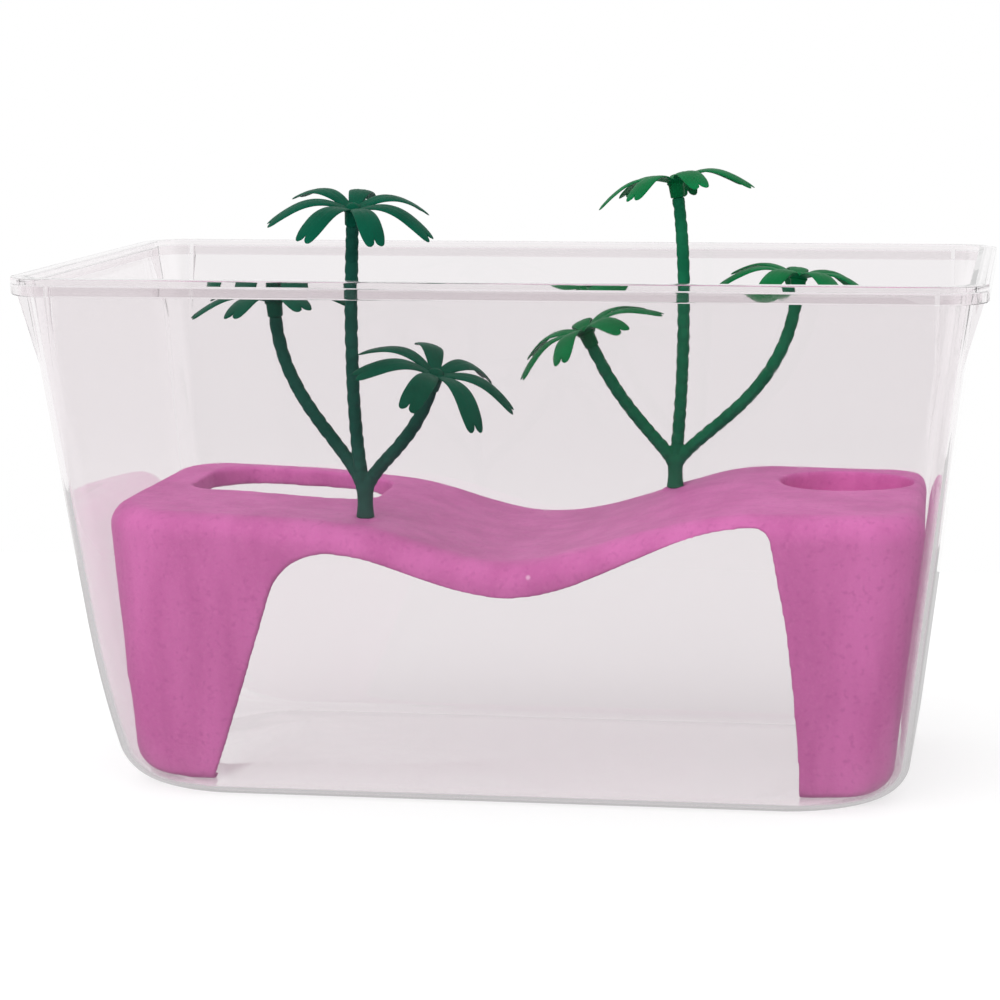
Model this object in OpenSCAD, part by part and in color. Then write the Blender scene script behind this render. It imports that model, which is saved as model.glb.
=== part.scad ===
// Clear plastic turtle tank with a moulded basking island and two plug-in palms.
// Millimetres, +Z up, origin at the centre of the tank's underside, +Y towards the back.

/* [Tank] */
// Length over the rim, left to right
tank_length = 380; // [340:5:440]
// Depth over the rim, front to back
tank_depth = 220; // [200:5:260]
// Height to the top of the rim
tank_height = 210; // [180:5:260]
// Thickness of the moulded wall and floor
tank_wall = 2.5; // [1.6:0.1:3.5]
// Lean of the walls, in degrees from upright
wall_draft = 7.1; // [4:0.1:9]
// Radius of the upright corners under the rim, seen from above
corner_radius = 14; // [10:1:18]
// Radius of the upright corners at the floor, seen from above
floor_corner = 36; // [24:1:44]
// Height over which the corners widen towards the floor
corner_blend = 70; // [55:5:100]
// Radius between the floor and the end walls
floor_end_radius = 16; // [12:0.5:19]
// Radius between the floor and the long walls
floor_side_radius = 7; // [6:0.5:12]
// How far the rim stands out past the wall
rim_overhang = 5; // [3.5:0.5:8]
// Height of the band that hangs from the rim
rim_skirt = 7; // [4:0.5:12]
// Height of the ribs under the rim
rib_height = 32; // [18:1:50]
// Thickness of the ribs under the rim
rib_thickness = 1.8; // [1.2:0.1:3]

/* [Island] */
// Thickness of the moulded shell
island_wall = 2.2; // [1.6:0.1:3]
// Gap between the island and the tank's end walls, at the top edge
end_gap = 3.2; // [2:0.2:8]
// Gap between the island and the tank's long walls, at the top edge
side_gap = 17.5; // [8:0.5:30]
// Height of the left plateau above the table
left_top = 114; // [104:1:130]
// Height of the top where the left palm stands
left_palm_top = 109; // [100:1:124]
// Height of the bottom of the dip
dip_top = 96; // [88:1:110]
// Height of the right plateau above the table
right_top = 117; // [106:1:134]
// Width of the left plateau, from the left end
left_plateau = 29; // [15:1:50]
// Width of the right plateau, from the right end
right_plateau = 72; // [64:1:90]
// Rounding of the top edge
edge_radius = 8; // [5:0.5:12]
// Radius of the island's corners, seen from above
island_corner = 25; // [18:1:32]
// Radius of the island's front left corner, seen from above
front_left_corner = 40; // [26:1:46]
// Least radius of the island's corners at the foot
foot_corner = 9; // [6:1:16]
// Least gap between the island and the tank, at the corners
corner_gap = 1.6; // [1:0.1:2.4]
// How far the front and back draw in from the top edge to the foot
leg_draw = 15; // [12:0.5:20]
// Width of the flange that the legs stand on
foot_flange = 2; // [1:0.5:6]
// Depth of the front skirt over the left arch
left_skirt = 11; // [8:0.5:16]
// Depth of the front skirt at the dip
dip_skirt = 13.5; // [9:0.5:18]
// Depth of the front skirt at the right end of the arch
right_skirt = 5; // [4:0.5:10]
// Depth of the skirt along the back
back_skirt = 12; // [7:0.5:18]
// Width of the left leg at its foot, from the left end of the top
left_leg = 47.5; // [40:0.5:60]
// Width of the right leg at its foot, from the right end of the top
right_leg = 50.5; // [42:0.5:58]
// Width of the right leg under the arch, from the right end of the top
right_leg_top = 61; // [58:0.5:64]
// Radius of the arch beside the left leg
left_arch_radius = 25; // [15:1:32]
// Radius of the arch beside the right leg
right_arch_radius = 6.5; // [4:0.5:10]
// Where the left end wall stops at the floor, behind the middle
end_wall_back = -5; // [-20:1:10]

/* [Access hole] */
// Length of the hole, left to right
hole_length = 80; // [50:1:90]
// Width of the hole, front to back
hole_width = 65; // [40:1:75]
// Corner radius of the hole
hole_corner = 20; // [10:1:24]
// Distance from the left end of the top to the hole
hole_from_end = 22; // [16:1:34]
// Distance from the back edge of the top to the hole
hole_from_back = 17.5; // [14:0.5:26]
// Depth of the lip round the hole
hole_lip = 5; // [3:0.5:9]

/* [Food dish] */
// Diameter of the dish at its mouth
dish_diameter = 55.5; // [35:0.5:60]
// Depth of the dish
dish_depth = 14; // [8:0.5:22]
// Rounding inside the bottom of the dish
dish_round = 6; // [3:0.5:8]
// Distance from the right end of the top to the dish's centre
dish_from_end = 37.5; // [36:0.5:48]
// Distance from the back edge of the top to the dish's centre
dish_from_back = 47; // [40:0.5:70]

/* [Palm fittings] */
// Diameter of the peg under each palm
peg_diameter = 5; // [4:0.1:6]
// Length of the peg under each palm
peg_length = 11; // [8:0.5:14]
// Room left under a peg in its socket
peg_room = 1; // [0.5:0.1:3]
// Diameter of the palm's flared foot
foot_diameter = 7.4; // [6.8:0.1:9]
// Outside diameter of the socket in the island
socket_diameter = 11; // [9:0.5:14]
// Diameter of the spigot at the end of each stem
spigot_diameter = 3.2; // [2.6:0.1:3.6]
// Length of the spigot at the end of each stem
spigot_length = 6; // [4:0.5:7]
// Clearance all round a peg or a spigot in its bore
fit_gap = 0.08; // [0.03:0.01:0.1]
// Gap between faces that seat on each other
seat_gap = 0.05; // [0.02:0.01:0.2]

/* [Palm stems] */
// Diameter of a stem
stem_diameter = 5.4; // [4.6:0.1:6]
// Height of the rings on the bark
bark_relief = 0.3; // [0.1:0.05:0.5]
// Distance between the rings on the bark
bark_pitch = 6; // [5:0.5:10]
// Height of the fork above the palm's foot
fork_height = 13; // [8:0.5:18]

/* [Left palm] */
// Place of the left palm, left of the middle
left_palm_x = 60; // [45:1:66]
// Distance from the front edge of the top to the left palm
left_palm_from_front = 30.4; // [24:0.2:37]
// Left tall stem's end, from the palm's foot
left_tall_end = [-4, 0, 118]; // [-120:1:150]
// Left outer stem's end, from the palm's foot
left_outer_end = [-39, 12, 80]; // [-120:1:150]
// Left inner stem's end, from the palm's foot
left_inner_end = [30, -13, 54]; // [-120:1:150]

/* [Right palm] */
// Place of the right palm, right of the middle
right_palm_x = 55; // [45:1:65]
// Distance from the back edge of the top to the right palm
right_palm_from_back = 19.4; // [18:0.2:29]
// Right tall stem's end, from the palm's foot
right_tall_end = [1, 0, 124]; // [-120:1:150]
// Right inner stem's end, from the palm's foot
right_inner_end = [-35, -6, 61]; // [-120:1:150]
// Right outer stem's end, from the palm's foot
right_outer_end = [52, -4, 84]; // [-120:1:150]

/* [Leaf crowns] */
// Leaves on a crown
leaf_count = 7; // [5:1:7]
// Reach of a leaf from the middle of the crown
leaf_reach = 34; // [26:1:36]
// Widest part of a leaf
leaf_width = 10; // [7:0.2:11]
// Thickness of a leaf
leaf_thickness = 1; // [0.8:0.1:1.4]
// Height that a leaf rises to before it droops
leaf_rise = 4.5; // [3:0.5:8]
// Drop of a leaf's tip below the top of its collar
leaf_droop = 5; // [2:0.5:9]
// Depth of the notch between the lobes of a leaf's tip
leaf_notch = 2.4; // [1:0.2:4]
// Outside diameter of the collar under the leaves
collar_diameter = 6.6; // [6.2:0.1:8]
// Height of the collar under the leaves
collar_height = 7.5; // [7.5:0.5:10]

/* [Hidden] */
$fn = 48;

tank_clear = [0.90, 0.88, 0.89, 0.35];
island_pink = [0.78, 0.43, 0.65];
left_green = [0.06, 0.33, 0.25];
right_green = [0.08, 0.48, 0.31];

// A cut reaches this far past what it cuts
past = 10;

// Tank, worked out from its sizes
draft = tan(wall_draft);
wall_top_x = tank_length / 2 - rim_overhang;
wall_top_y = tank_depth / 2 - rim_overhang;
floor_flat_x = wall_top_x - tank_height * draft - floor_end_radius;
corner_steps = 8;

// Island, worked out from the tank and its own sizes
island_floor = tank_wall;
island_x = wall_top_x - (tank_height - right_top) * draft - tank_wall - end_gap;
island_y = wall_top_y - (tank_height - right_top) * draft - tank_wall - side_gap;
foot_inset = 3;
foot_x = floor_flat_x - foot_inset;
end_curl = island_x - (right_top - island_floor) * draft - foot_x;
side_curl = 4;
left_station = -island_x + left_plateau;
right_station = island_x - right_plateau;
palm_slope = -0.12;
end_wall_lean = 12;
left_arch_x = -island_x + left_leg + 2 * left_arch_radius;
right_arch_x = island_x - right_leg_top - right_arch_radius;
hole_x = -island_x + hole_from_end + hole_length / 2;
hole_y = island_y - hole_from_back - hole_width / 2;
dish_x = island_x - dish_from_end;
dish_y = island_y - dish_from_back;
sharpest = 0.5;
side_points = 32;
hole_side_points = 4;
island_corner_steps = 5;

// Palms, worked out from the island
left_palm_foot = [-left_palm_x, left_palm_from_front - island_y, top_height(-left_palm_x)];
right_palm_foot = [right_palm_x, island_y - right_palm_from_back, top_height(right_palm_x)];
peg_bore = peg_diameter + 2 * fit_gap;
socket_depth = peg_length + peg_room;
stem_radius = stem_diameter / 2;
stem_sides = 8;
ahead_step = 0.01;
neck_diameter = stem_diameter + 2 * bark_relief;
// Lean of each stem's end, the side it leans to and the turn of its crown, in degrees
left_tall_angles = [14, -68, 41];
left_outer_angles = [5, -140, 47];
left_inner_angles = [24, -33, 8];
right_tall_angles = [9, 166, 37];
right_inner_angles = [25, -168, 49];
right_outer_angles = [6, 12, 45];
// How steeply each stem leaves the fork, and the share of the droop that its leaves have
left_tall_shares = [3, 1.1];
left_outer_shares = [3, 0.4];
left_inner_shares = [2.6, 1];
right_tall_shares = [3, 1];
right_inner_shares = [1.3, 0.8];
right_outer_shares = [1.2, 0.9];
// Each stem: its end, its angles and its shares
left_tall = [left_tall_end, left_tall_angles, left_tall_shares];
left_outer = [left_outer_end, left_outer_angles, left_outer_shares];
left_inner = [left_inner_end, left_inner_angles, left_inner_shares];
right_tall = [right_tall_end, right_tall_angles, right_tall_shares];
right_inner = [right_inner_end, right_inner_angles, right_inner_shares];
right_outer = [right_outer_end, right_outer_angles, right_outer_shares];
// Shares of a stem's length and sideways reach that shape its bend
fork_pull = 0.22;
end_pull = 0.25;
bend_pull = 0.35;

// Crowns
spigot_bore = spigot_diameter + 2 * fit_gap;
dome_diameter = 1.2 * collar_diameter;
dome_sink = 0.18 * collar_diameter;
leaf_stations = [0, 0.28, 0.56, 0.83, 1];
leaf_columns = [-1, -0.72, -0.36, 0, 0.36, 0.72, 1];
// How far each column of the tip stands back, as a share of the notch
leaf_tip = [1, 0.2, 0.1, 1, 0.1, 0.2, 1];
leaf_fold = 0.11;
// A leaf's width follows a sine from its root to its tip, in degrees
leaf_root_angle = 25;
leaf_tip_angle = 130;
// How much the droop differs from leaf to leaf, and the step that scatters it
droop_spread = 2;
droop_step = 137;

// Curves

// Smooth step between two heights, with a slope at each end
function bridge(x, x0, z0, slope0, x1, z1, slope1) =
    let (t = (x - x0) / (x1 - x0), run = x1 - x0)
    (1 + 2 * t) * (1 - t) * (1 - t) * z0 + t * (1 - t) * (1 - t) * run * slope0
    + t * t * (3 - 2 * t) * z1 + t * t * (t - 1) * run * slope1;

// Height of the island's wavy top at x
function top_height(x) =
    x <= left_station ? left_top
    : x <= -left_palm_x ? bridge(x, left_station, left_top, 0, -left_palm_x, left_palm_top, palm_slope)
    : x <= 0 ? bridge(x, -left_palm_x, left_palm_top, palm_slope, 0, dip_top, 0)
    : x <= right_station ? bridge(x, 0, dip_top, 0, right_station, right_top, 0)
    : right_top;

// Height of the front skirt's lower edge at x, between the two arches
function front_edge(x) =
    x <= 0
    ? bridge(x, left_arch_x, top_height(left_arch_x) - left_skirt, 0, 0, dip_top - dip_skirt, 0)
    : bridge(x, 0, dip_top - dip_skirt, 0, right_arch_x, right_top - right_skirt, 0);

// How far a wall has drawn in at height z where it rounds into a floor at base
function curl(z, r, base) = z - base >= r ? 0 : r - sqrt(r * r - pow(r - (z - base), 2));

function bezier(p, t) =
    pow(1 - t, 3) * p[0] + 3 * t * pow(1 - t, 2) * p[1] + 3 * t * t * (1 - t) * p[2] + pow(t, 3) * p[3];

// Direction of a stem at its end
function stem_axis(stem) =
    let (lean = stem[1][0], side = stem[1][1])
    [sin(lean) * cos(side), sin(lean) * sin(side), cos(lean)];

function unit(v) = v / norm(v);

// Rings and lofts

// Points of an arc about c, in a plan
function arc(c, r, from, to, steps) =
    [for (k = [0:steps]) let (a = from + (to - from) * k / steps) c + r * [cos(a), sin(a)]];

// Points strictly between two plan points
function between(p, q, count) = [for (k = [1:1:count]) p + (q - p) * k / (count + 1)];

// Rounded rectangle, anticlockwise from the right end; the front left corner may differ
function plan_ring(half_x, half_y, r, front_left_r, steps, extra) =
    let (back_right = arc([half_x - r, half_y - r], r, 0, 90, steps),
         back_left = arc([r - half_x, half_y - r], r, 90, 180, steps),
         front_left = arc([front_left_r - half_x, front_left_r - half_y], front_left_r, 180, 270, steps),
         front_right = arc([half_x - r, r - half_y], r, 270, 360, steps))
    concat(back_right, between(back_right[steps], back_left[0], extra), back_left,
           front_left, between(front_left[steps], front_right[0], extra), front_right);

// Skin through rings of equal count, closed at both ends by strips across the ring
module loft(rings) {
    n = len(rings[0]);
    last = (len(rings) - 1) * n;
    sides = [for (j = [0:len(rings) - 2], i = [0:n - 1])
             let (a = j * n + i, b = j * n + (i + 1) % n)
             each [[a, a + n, b + n], [a, b + n, b]]];
    start_cap = [for (i = [0:n / 2 - 2])
                 each [[i, i + 1, n - 2 - i], [i, n - 2 - i, n - 1 - i]]];
    end_cap = [for (f = start_cap) [last + f[2], last + f[1], last + f[0]]];
    polyhedron(points = [for (r = rings) each r], faces = concat(start_cap, sides, end_cap));
}

// Closed band through rings of equal count, the last joined to the first
module band(rings) {
    n = len(rings[0]);
    m = len(rings);
    faces = [for (j = [0:m - 1], i = [0:n - 1])
             let (a = j * n + i, b = j * n + (i + 1) % n,
                  c = ((j + 1) % m) * n + (i + 1) % n, d = ((j + 1) % m) * n + i)
             each [[a, d, c], [a, c, b]]];
    polyhedron(points = [for (r = rings) each r], faces = faces);
}

module rounded_square(length, width, r) {
    square([length - 2 * r, width], center = true);
    square([length, width - 2 * r], center = true);
    for (x = [-1, 1], y = [-1, 1])
        translate([x * (length / 2 - r), y * (width / 2 - r)])
            circle(r);
}

// Places a part's own Z axis along a lean, at a point
module along(point, angles) {
    translate(point)
        rotate([0, 0, angles[1]])
            rotate([0, angles[0], 0])
                children();
}

// Tank

// Corner radius at height z: tight under the rim, wide at the floor
function corner_at(z) =
    corner_radius + (floor_corner - corner_radius) * pow(max(0, 1 - z / corner_blend), 2);

// Half length and half depth at height z; depth is 0 outside and the wall's thickness inside
function tank_half(z, depth) =
    let (inset = (tank_height - z) * draft + depth)
    [wall_top_x - inset - curl(z, floor_end_radius - depth, depth),
     wall_top_y - inset - curl(z, floor_side_radius - depth, depth)];

// Level ring of the tank at height z
function tank_ring(z, depth) =
    let (half = tank_half(z, depth), r = corner_at(z) - depth)
    [for (p = plan_ring(half[0], half[1], r, r, corner_steps, 0)) [p[0], p[1], z]];

// Rings from the floor up to where the corners stop widening
function floor_rings(depth) =
    concat([for (a = [90, 70, 50, 32, 15, 0])
            tank_ring(depth + (floor_end_radius - depth) * (1 - sin(a)), depth)],
           [for (share = [0.4, 0.65, 1]) tank_ring(corner_blend * share, depth)]);

function reversed(list) = [for (i = [len(list) - 1:-1:0]) list[i]];

module tank() {
    lip_round = tank_wall / 3;
    out = rim_overhang;
    under = tank_height - tank_wall;
    band_foot = tank_height - rim_skirt;
    rim_rings = [
        tank_ring(under, 0),
        tank_ring(under, tank_wall - out),
        tank_ring(band_foot, tank_wall - out - (tank_height - band_foot) * draft),
        tank_ring(band_foot, -out - (tank_height - band_foot) * draft),
        tank_ring(tank_height - lip_round, -out - lip_round * draft),
        tank_ring(tank_height, lip_round - out),
        tank_ring(tank_height, tank_wall - lip_round),
        tank_ring(tank_height - lip_round, tank_wall)
    ];
    color(tank_clear) union() {
        loft(concat(floor_rings(0), rim_rings, reversed(floor_rings(tank_wall))));
        for (side = [-1, 1], end = [-1, 1]) {
            translate([end * (wall_top_x - corner_radius), side * wall_top_y, under])
                rotate([0, 0, side * 90])
                    rim_rib();
            translate([end * wall_top_x, side * (wall_top_y - corner_radius), under])
                rotate([0, 0, 90 - end * 90])
                    rim_rib();
        }
    }
}

// Rib under the rim, in its own frame: +X points out of the wall, the top is at Z 0
module rim_rib() {
    into = tank_wall / 2;
    outer = rim_overhang - into;
    rotate([90, 0, 0])
        translate([0, 0, -rib_thickness / 2])
            linear_extrude(rib_thickness)
                polygon([[-into, into], [outer, into], [outer, into - rim_skirt / 2],
                         [-into - rib_height * draft, -rib_height]]);
}

// Island

// Ring of the shell's rounded top edge; depth is 0 outside and the wall's thickness inside
function edge_ring(a, depth) =
    let (r = edge_radius - depth,
         inset = depth + r * (1 - cos(a)),
         drop = depth + r * (1 - sin(a)))
    [for (p = plan_ring(island_x - inset, island_y - inset, island_corner - inset,
                        front_left_corner - inset, island_corner_steps, side_points))
     [p[0], p[1], top_height(p[0]) - drop]];

// Least corner radius with which a ring of these half sizes clears the tank's corner at height z
function clear_corner(z, half) =
    let (room = tank_half(z, tank_wall) - half,
         spare = 2 * (room[0] - corner_gap) * (room[1] - corner_gap))
    corner_at(z) - tank_wall - (room[0] + room[1] - corner_gap) - sqrt(max(0, spare));

// Level ring of the legs at height z; further moves it in past the foot's curl
function leg_ring(z, depth, further) =
    let (lean_x = (right_top - z) * draft,
         down = (right_top - z) / (right_top - island_floor),
         lean_y = down * (leg_draw - side_curl),
         base = island_floor + depth,
         outer = [island_x - lean_x - curl(z, end_curl, island_floor),
                  island_y - lean_y - curl(z, side_curl, island_floor)],
         least = clear_corner(z, outer),
         corner = max(least, island_corner + (foot_corner - island_corner) * down),
         front_left = max(least, foot_corner + (front_left_corner - foot_corner) * pow(1 - down, 2)),
         inset = depth + further,
         half_x = island_x - lean_x - inset - curl(z, end_curl - depth, base),
         half_y = island_y - lean_y - inset - curl(z, side_curl - depth, base))
    [for (p = plan_ring(half_x, half_y, max(sharpest, corner - inset), max(sharpest, front_left - inset),
                        island_corner_steps, side_points))
     [p[0], p[1], z]];

// Heights of the rings down the curl of the foot
function curl_heights(depth) =
    [for (a = [0, 30, 55, 75, 90]) island_floor + depth + (end_curl - depth) * (1 - sin(a))];

module island_shell() {
    inner = [for (a = [90, 60, 30, 0]) edge_ring(a, island_wall)];
    inner_legs = [for (z = curl_heights(island_wall)) leg_ring(z, island_wall, 0)];
    flange = [leg_ring(island_floor + island_wall, island_wall, foot_flange),
              leg_ring(island_floor, 0, foot_flange + island_wall)];
    outer_legs = [for (z = reversed(curl_heights(0))) leg_ring(z, 0, 0)];
    outer = [for (a = [0, 30, 60, 90]) edge_ring(a, 0)];
    loft(concat(inner, inner_legs, flange, outer_legs, outer));
}

// Opening under the front skirt, as an outline in X and Z
module front_opening() {
    foot_left = [-island_x + left_leg, island_floor];
    foot_right = [island_x - right_leg, island_floor];
    left_c = [left_arch_x, front_edge(left_arch_x) - left_arch_radius];
    to_foot = foot_left - left_c;
    touch = 360 + atan2(to_foot[1], to_foot[0]) - acos(left_arch_radius / norm(to_foot));
    right_c = [right_arch_x, front_edge(right_arch_x) - right_arch_radius];
    right_side = right_c + [right_arch_radius, 0];
    polygon(concat(
        [[foot_left[0], -past], foot_left],
        arc(left_c, left_arch_radius, touch, 90, 7),
        [for (x = between([left_arch_x], [right_arch_x], 16)) [x[0], front_edge(x[0])]],
        arc(right_c, right_arch_radius, 90, 0, 5),
        [for (t = [0.25, 0.5, 0.75, 1])
         [right_side[0] + (foot_right[0] - right_side[0]) * (1 - pow(1 - t, 2)),
          right_side[1] + (foot_right[1] - right_side[1]) * t]],
        [[foot_right[0], -past]]));
}

// Opening under the back skirt, which runs out past the left end
module back_opening() {
    foot_right = island_x - right_leg;
    right_x = foot_right - back_skirt;
    polygon(concat(
        [[-island_x - past, -past], [-island_x - past, left_top - back_skirt]],
        [for (x = between([-island_x], [right_x], 20)) [x[0], top_height(x[0]) - back_skirt]],
        arc([right_x, top_height(right_x) - 2 * back_skirt], back_skirt, 90, 0, 5),
        [[foot_right, -past]]));
}

// Back end of the left end wall, as an outline in Y and Z
module end_opening() {
    top = left_top - back_skirt;
    r = left_arch_radius;
    polygon(concat(
        [[end_wall_back, -past], [end_wall_back, island_floor]],
        arc([end_wall_back + end_wall_lean + r, top - r], r, 180, 90, 6),
        [[island_y + past, top], [island_y + past, -past]]));
}

module island_openings() {
    reach = island_y + past;
    rotate([90, 0, 0])
        linear_extrude(reach)
            front_opening();
    translate([0, reach, 0])
        rotate([90, 0, 0])
            linear_extrude(reach - end_wall_back - left_arch_radius)
                back_opening();
    translate([-island_x - past, 0, 0])
        rotate([90, 0, 90])
            linear_extrude(past + left_plateau + island_corner)
                end_opening();
}

// Turned-down lip round the access hole, following the top
module hole_band() {
    into = island_wall / 2;
    function hole_ring(grow, drop) =
        [for (p = plan_ring(hole_length / 2 + grow, hole_width / 2 + grow, hole_corner + grow,
                            hole_corner + grow, island_corner_steps, hole_side_points))
         [p[0] + hole_x, p[1] + hole_y, top_height(p[0] + hole_x) - drop]];
    band([hole_ring(-into, hole_lip + island_wall), hole_ring(island_wall, hole_lip + island_wall),
          hole_ring(island_wall, into), hole_ring(-into, into)]);
}

// Half outline of the dish, grown outwards by its wall when asked
module dish_profile(grow, mouth) {
    r = dish_diameter / 2 + grow;
    corner = dish_round + grow;
    depth = dish_depth + grow;
    translate([0, -depth])
        square([r - corner, depth + mouth]);
    translate([0, corner - depth])
        square([r, depth - corner + mouth]);
    translate([r - corner, corner - depth])
        intersection() {
            circle(corner);
            translate([0, -corner])
                square(corner);
        }
}

module socket(foot) {
    translate(foot - [0, 0, socket_depth])
        cylinder(d = socket_diameter, h = socket_depth);
}

// Bore for a palm's peg, with a flat seat cut round it for the palm's foot
module socket_bore(foot) {
    translate(foot - [0, 0, socket_depth + past])
        cylinder(d = peg_bore, h = socket_depth + 2 * past);
    translate(foot)
        cylinder(d = socket_diameter, h = past);
}

module island() {
    color(island_pink) difference() {
        union() {
            difference() {
                island_shell();
                island_openings();
            }
            hole_band();
            translate([dish_x, dish_y, right_top])
                rotate_extrude()
                    dish_profile(island_wall, -island_wall / 2);
            socket(left_palm_foot);
            socket(right_palm_foot);
        }
        translate([hole_x, hole_y, left_palm_top - past - hole_lip])
            linear_extrude(3 * past)
                rounded_square(hole_length, hole_width, hole_corner);
        translate([dish_x, dish_y, right_top])
            rotate_extrude()
                dish_profile(0, past);
        socket_bore(left_palm_foot);
        socket_bore(right_palm_foot);
    }
}

// Palms

// Centre line of a stem, from inside the fork to its end
function stem_path(stem) =
    let (end = stem[0],
         axis = stem_axis(stem),
         start = [0, 0, fork_height - stem_radius],
         reach = norm([end[0], end[1]]),
         away = unit([end[0], end[1], stem[2][0] * reach + stem_diameter]),
         pull = end_pull * norm(end) + bend_pull * reach)
    [start, start + away * fork_pull * norm(end), end - axis * pull, end];

// Ringed tube along a stem
module stem(stem) {
    path = stem_path(stem);
    axis = stem_axis(stem);
    rings = 2 * round(norm(stem[0]) / bark_pitch);
    loft([for (k = [0:rings])
          let (t = k / rings,
               here = bezier(path, t),
               ahead = k == rings ? axis : unit(bezier(path, t + ahead_step) - here),
               side = unit(cross([0, 1, 0], ahead)),
               up = cross(ahead, side),
               r = stem_radius + (k % 2 == 0 ? -bark_relief : 0))
          [for (i = [0:stem_sides - 1])
           let (a = 360 * (i + 0.5) / stem_sides)
           here + r * (cos(a) * side + sin(a) * up)]]);
}

// Trunk of three stems on one flared foot, with a peg below and a spigot on each stem
module trunk(foot, stems) {
    translate(foot + [0, 0, seat_gap]) {
        translate([0, 0, -peg_length])
            cylinder(d = peg_diameter, h = peg_length + fork_height / 2);
        cylinder(d1 = foot_diameter, d2 = neck_diameter, h = fork_height / 2);
        translate([0, 0, fork_height / 2])
            cylinder(d = neck_diameter, h = fork_height / 2);
        for (s = stems) {
            stem(s);
            along(s[0], s[1])
                translate([0, 0, -spigot_length / 2])
                    cylinder(d = spigot_diameter, h = spigot_length * 1.5);
        }
    }
}

// One leaf, along +X from the crown's middle, with a folded section and a tip of two lobes
module leaf(droop) {
    root = collar_diameter / 4;
    function rise(t) = leaf_rise * sin(180 * t) - droop * t * t;
    function half_width(t) =
        leaf_width / 2 * sin(leaf_root_angle + (leaf_tip_angle - leaf_root_angle) * t);
    function fold(c, t) = -abs(c) * leaf_width * leaf_fold * t;
    function point(i, t, z) =
        let (c = leaf_columns[i], back = t == 1 ? leaf_notch * leaf_tip[i] : 0)
        [root + (leaf_reach - root) * t - back, c * half_width(t), rise(t) + fold(c, t) + z];
    across = [0:len(leaf_columns) - 1];
    loft([for (t = leaf_stations)
          concat([for (i = across) point(i, t, -leaf_thickness)],
                 reversed([for (i = across) point(i, t, 0)]))]);
}

// Crown in its own frame: Z 0 is the seat on the stem, the leaves spread from the collar's top
module crown(spin, droop) {
    root_height = collar_height - leaf_thickness / 2;
    difference() {
        union() {
            cylinder(d = collar_diameter, h = collar_height - leaf_thickness);
            translate([0, 0, collar_height - leaf_thickness - dome_sink])
                intersection() {
                    sphere(d = dome_diameter);
                    cylinder(d = dome_diameter, h = collar_diameter);
                }
            for (i = [0:leaf_count - 1])
                rotate([0, 0, spin + 360 * i / leaf_count])
                    translate([0, 0, root_height])
                        leaf(droop + droop_spread * sin(droop_step * i));
        }
        translate([0, 0, -past])
            cylinder(d = spigot_bore, h = past + spigot_length + seat_gap);
    }
}

module seated_crown(foot, stem) {
    angles = stem[1];
    along(foot + [0, 0, seat_gap] + stem[0] + seat_gap * stem_axis(stem), angles)
        rotate([0, 0, -angles[1]])
            crown(angles[2], leaf_droop * stem[2][1]);
}

module left_palm_trunk() { color(left_green) trunk(left_palm_foot, [left_tall, left_outer, left_inner]); }
module right_palm_trunk() { color(right_green) trunk(right_palm_foot, [right_tall, right_inner, right_outer]); }
module left_tall_crown() { color(left_green) seated_crown(left_palm_foot, left_tall); }
module left_outer_crown() { color(left_green) seated_crown(left_palm_foot, left_outer); }
module left_inner_crown() { color(left_green) seated_crown(left_palm_foot, left_inner); }
module right_tall_crown() { color(right_green) seated_crown(right_palm_foot, right_tall); }
module right_inner_crown() { color(right_green) seated_crown(right_palm_foot, right_inner); }
module right_outer_crown() { color(right_green) seated_crown(right_palm_foot, right_outer); }

tank();
island();
left_palm_trunk();
right_palm_trunk();
left_tall_crown();
left_outer_crown();
left_inner_crown();
right_tall_crown();
right_inner_crown();
right_outer_crown();
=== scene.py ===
"""Clear turtle tank with a pink basking island and two plug-in palms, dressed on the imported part."""

import math

import bmesh
import bpy
import numpy as np
from mathutils import Matrix, Vector, noise


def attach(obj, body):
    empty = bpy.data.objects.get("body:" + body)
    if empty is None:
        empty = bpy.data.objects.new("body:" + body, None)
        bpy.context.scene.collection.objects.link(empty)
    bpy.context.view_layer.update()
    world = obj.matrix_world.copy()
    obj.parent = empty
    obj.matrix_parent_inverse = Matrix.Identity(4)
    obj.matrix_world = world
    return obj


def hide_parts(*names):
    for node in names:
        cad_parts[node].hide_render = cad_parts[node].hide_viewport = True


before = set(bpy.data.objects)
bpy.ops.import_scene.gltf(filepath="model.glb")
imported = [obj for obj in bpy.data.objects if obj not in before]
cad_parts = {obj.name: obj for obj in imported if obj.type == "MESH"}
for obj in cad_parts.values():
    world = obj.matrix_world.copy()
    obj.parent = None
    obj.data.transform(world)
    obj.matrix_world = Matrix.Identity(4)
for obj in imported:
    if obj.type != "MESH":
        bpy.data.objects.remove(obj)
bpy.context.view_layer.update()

MM = 0.001
# Radius in millimetres under which a point of a turned profile counts as on its axis
ON_AXIS = 1e-6

# Tank sizes, in millimetres, as in the part
TANK_HEIGHT = 210.0
WALL = 2.5
DRAFT = math.tan(math.radians(7.1))
TOP_X = 185.0
TOP_Y = 105.0
CORNER = 14.0
FLOOR_CORNER = 36.0
CORNER_BLEND = 70.0
FLOOR_END_R = 16.0
FLOOR_SIDE_R = 7.0
RIM_OUT = 5.0
RIM_SKIRT = 7.0
RIB_HEIGHT = 32.0
RIB_THICK = 1.8
# Where the rim's profile starts on the wall, and the roundings along it
RIM_ROOT = 196.0
RIM_ROUNDS = (1.0, 0.6, 0.5, 0.7, 0.45, 0.6)
# Heights of the wall's rings above the rounded floor edge
WALL_STATIONS = (22, 29, 37, 46, 57, CORNER_BLEND, 100, 140, 180)

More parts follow.
